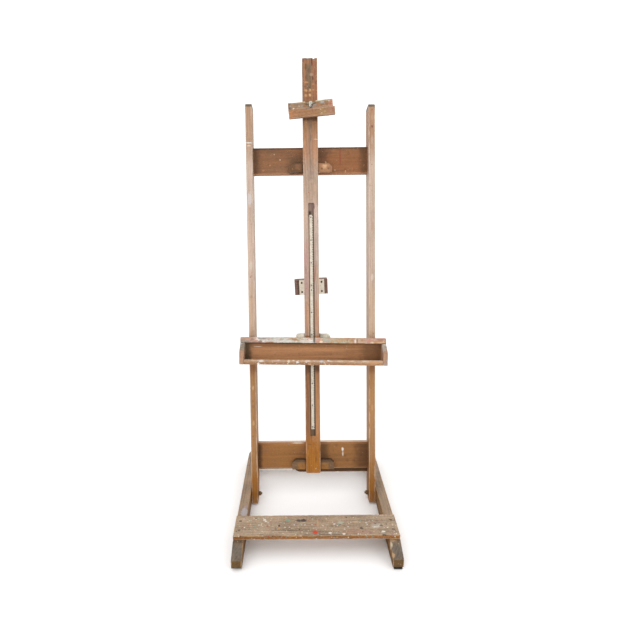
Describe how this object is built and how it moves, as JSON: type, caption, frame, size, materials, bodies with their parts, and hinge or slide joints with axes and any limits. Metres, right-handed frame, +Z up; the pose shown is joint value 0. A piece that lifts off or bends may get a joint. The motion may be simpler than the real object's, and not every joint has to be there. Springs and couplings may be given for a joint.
{
  "type": "h frame easel",
  "caption": "Tall wooden studio easel: floor base, tilting frame, sliding toothed mast, height-adjustable paint tray and a clamp that holds the top of a canvas.",
  "frame": {"origin": "on the floor, under the middle of the easel's bounding box", "axes": "+X to the right as seen from the painter's side, +Y to the back, +Z up"},
  "size_m": [0.6103, 0.76, 1.8259],
  "materials": {
    "runner_wood": "worn, greyed brown",
    "step_board_wood": "worn, paint-splattered",
    "upright_wood": "worn, oiled",
    "crossbar_wood": "reddish brown, worn varnish",
    "mast_wood": "worn, oiled",
    "guide_wood": "worn, paint-stained",
    "tray_wood": "brown, worn",
    "ledge_wood": "covered in dried paint",
    "clamp_wood": "paint-stained",
    "jaw_wood": "clean light brown",
    "dark_wood": "dark stain",
    "knob_wood": "dark lacquer",
    "rack_steel": "aged cream",
    "bracket_steel": "dull zinc",
    "screw_steel": "tarnished",
    "bright_steel": "plated, scratched",
    "brass": "dull",
    "pad_rubber": "matte"
  },
  "bodies": {
    "base": {"left_runner": "runner_wood", "right_runner": "runner_wood", "step_board": "step_board_wood", "rear_stretcher": "runner_wood", "base_screws": "screw_steel", "foot_pads": "pad_rubber", "pivot_bolts": "screw_steel", "pivot_washers": "screw_steel", "pivot_nuts": "screw_steel", "strut_foot_bracket": "bracket_steel", "strut_foot_pin": "screw_steel"},
    "h_frame": {"left_upright": "upright_wood", "right_upright": "upright_wood", "upper_crossbar": "crossbar_wood", "lower_crossbar": "crossbar_wood", "crossbar_screws": "screw_steel", "centre_rail": "crossbar_wood", "upper_left_guide": "guide_wood", "upper_right_guide": "guide_wood", "lower_left_guide": "guide_wood", "lower_right_guide": "guide_wood", "backing_plate": "guide_wood", "frame_screws": "screw_steel", "strut_top_bracket": "bracket_steel", "strut_top_pin": "screw_steel", "mast_lock_insert": "brass"},
    "mast_lock": {"mast_lock_knob": "knob_wood"},
    "sliding_mast": {"mast": "mast_wood", "rack_top": "rack_steel", "rack_middle": "rack_steel", "rack_bottom": "rack_steel", "rack_screws": "screw_steel"},
    "tray": {"tray_ledge": "ledge_wood", "tray_back": "tray_wood", "tray_bottom": "tray_wood", "tray_lip": "ledge_wood", "tray_left_end": "ledge_wood", "tray_right_end": "ledge_wood", "left_carriage_block": "ledge_wood", "right_carriage_block": "ledge_wood", "tray_screws": "screw_steel", "pawl_pin": "screw_steel", "pawl_spring": "bracket_steel"},
    "pawl": {"rack_pawl": "bracket_steel"},
    "shoe": {"clamp_shoe": "dark_wood"},
    "clamp": {"clamp_block": "clamp_wood", "clamp_jaw": "jaw_wood", "clamp_spacers": "jaw_wood", "clamp_back_bar": "jaw_wood", "clamp_screws": "screw_steel", "clamp_insert": "brass"},
    "thumb_screw": {"clamp_thumb_screw": "bright_steel"},
    "strut_lower": {"lower_strut": "runner_wood", "strut_block": "dark_wood", "strut_keeper_plate": "rack_steel", "keeper_screws": "screw_steel", "strut_clamp_bolt": "screw_steel"},
    "strut_upper": {"upper_strut": "runner_wood"},
    "strut_knob": {"strut_clamp_knob": "knob_wood"}
  },
  "joints": [
    {"name": "frame_tilt", "type": "hinge", "parent": "base", "child": "h_frame", "pos_m": [0, 0.0316, 0.034], "axis": [-1, 0, 0], "range_deg": [-10.5, 6]},
    {"name": "strut_foot_hinge", "type": "hinge", "parent": "base", "child": "strut_lower", "pos_m": [0, 0.297, 0.044], "axis": [-1, 0, 0], "range_deg": [-10.6, 6.1]},
    {"name": "strut_extension", "type": "slide", "parent": "strut_lower", "child": "strut_upper", "axis": [0, 0.036, 0.9994], "range_m": [-0.0278, 0.0487]},
    {"name": "strut_knob_turn", "type": "hinge", "parent": "strut_lower", "child": "strut_knob", "pos_m": [0, 0.32752, 0.89245], "axis": [0, 0.9994, -0.036], "continuous": true},
    {"name": "mast_lock_turn", "type": "hinge", "parent": "h_frame", "child": "mast_lock", "pos_m": [0.02, 0.32479, 1.4513], "axis": [0, 0.9833, -0.1822], "continuous": true},
    {"name": "mast_slide", "type": "slide", "parent": "h_frame", "child": "sliding_mast", "axis": [0, 0.1822, 0.9833], "range_m": [0, 0.3]},
    {"name": "tray_slide", "type": "slide", "parent": "sliding_mast", "child": "tray", "axis": [0, 0.1822, 0.9833], "range_m": [-0.32, 0.36]},
    {"name": "pawl_release", "type": "hinge", "parent": "tray", "child": "pawl", "pos_m": [0.00721, 0.11004, 0.6987], "axis": [0.9998, -0.0037, -0.0197], "range_deg": [-8, 6]},
    {"name": "clamp_slide", "type": "slide", "parent": "sliding_mast", "child": "shoe", "axis": [0, 0.1822, 0.9833], "range_m": [-0.045, 0.165]},
    {"name": "clamp_rock", "type": "hinge", "parent": "shoe", "child": "clamp", "pos_m": [0, 0.26619, 1.62896], "axis": [0, 0.9833, -0.1822], "range_deg": [0, 10.2]},
    {"name": "thumb_screw_turn", "type": "hinge", "parent": "clamp", "child": "thumb_screw", "pos_m": [0, 0.26619, 1.62896], "axis": [0, 0.9833, -0.1822], "continuous": true}
  ],
  "couplings": [
    {"joint": "strut_foot_hinge", "follows": "frame_tilt", "ratio": 1.0066},
    {"joint": "strut_extension", "follows": "frame_tilt", "m_per_rad": -0.26475}
  ]
}
